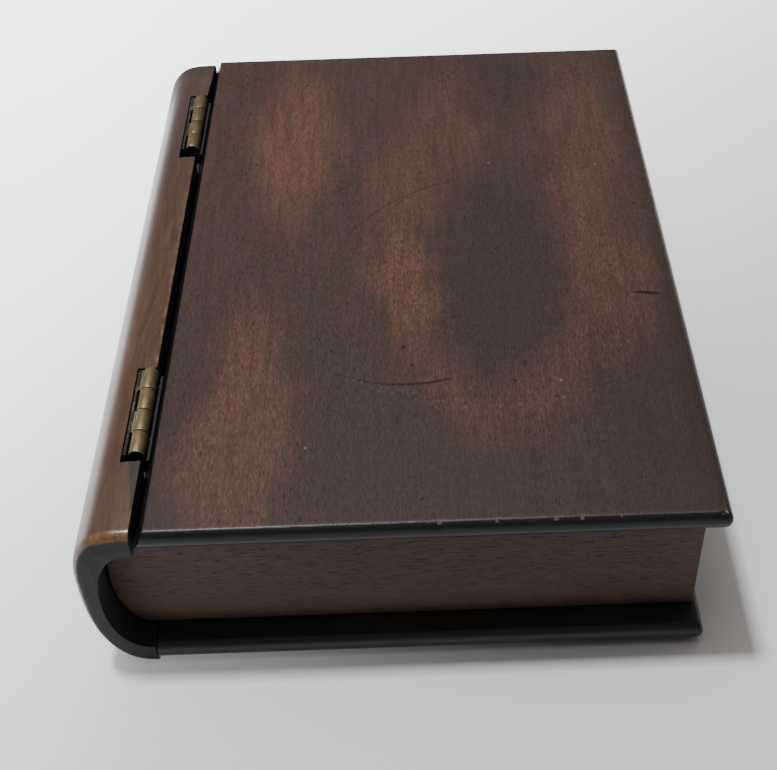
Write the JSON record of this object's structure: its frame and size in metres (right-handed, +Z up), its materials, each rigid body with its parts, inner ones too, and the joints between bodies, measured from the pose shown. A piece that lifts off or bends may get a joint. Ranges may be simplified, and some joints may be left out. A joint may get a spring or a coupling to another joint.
{
  "type": "book-shaped money box",
  "caption": "Wooden money box shaped like a closed book: hinged lid, rounded spine, recessed walls for the pages, brass butt hinges and a coin slot in one end.",
  "frame": {"origin": "centre of the footprint, on the surface the box stands on", "axes": "+X from the spine to the fore-edge, +Y from the tail end to the head end, +Z up"},
  "size_m": [0.1536, 0.21, 0.0499],
  "materials": {
    "cover_wood": "dark mahogany stain under worn semi-gloss lacquer, black edges",
    "spine_wood": "brown mahogany stain, satin, worn lighter on the arrises",
    "page_wood": "dull brown stain, grain along the wall",
    "brass": "aged, satin",
    "screw_steel": "brass-plated steel, dull"
  },
  "bodies": {
    "case": {"spine": "spine_wood", "base_board": "cover_wood", "tail_end_wall": "page_wood", "head_end_wall": "page_wood", "fore_edge_wall": "page_wood", "spine_side_wall": "page_wood", "tail_hinge_case_leaf": "brass", "tail_hinge_pin": "brass", "tail_hinge_case_screw_1": "screw_steel", "tail_hinge_case_screw_2": "screw_steel", "head_hinge_case_leaf": "brass", "head_hinge_pin": "brass", "head_hinge_case_screw_1": "screw_steel", "head_hinge_case_screw_2": "screw_steel"},
    "lid": {"lid_board": "cover_wood", "tail_hinge_lid_leaf": "brass", "tail_hinge_lid_screw_1": "screw_steel", "tail_hinge_lid_screw_2": "screw_steel", "head_hinge_lid_leaf": "brass", "head_hinge_lid_screw_1": "screw_steel", "head_hinge_lid_screw_2": "screw_steel"}
  },
  "joints": [
    {"name": "lid_hinge", "type": "hinge", "parent": "case", "child": "lid", "pos_m": [-0.0627, 0, 0.0479], "axis": [0, -1, 0], "range_deg": [0, 140]}
  ]
}
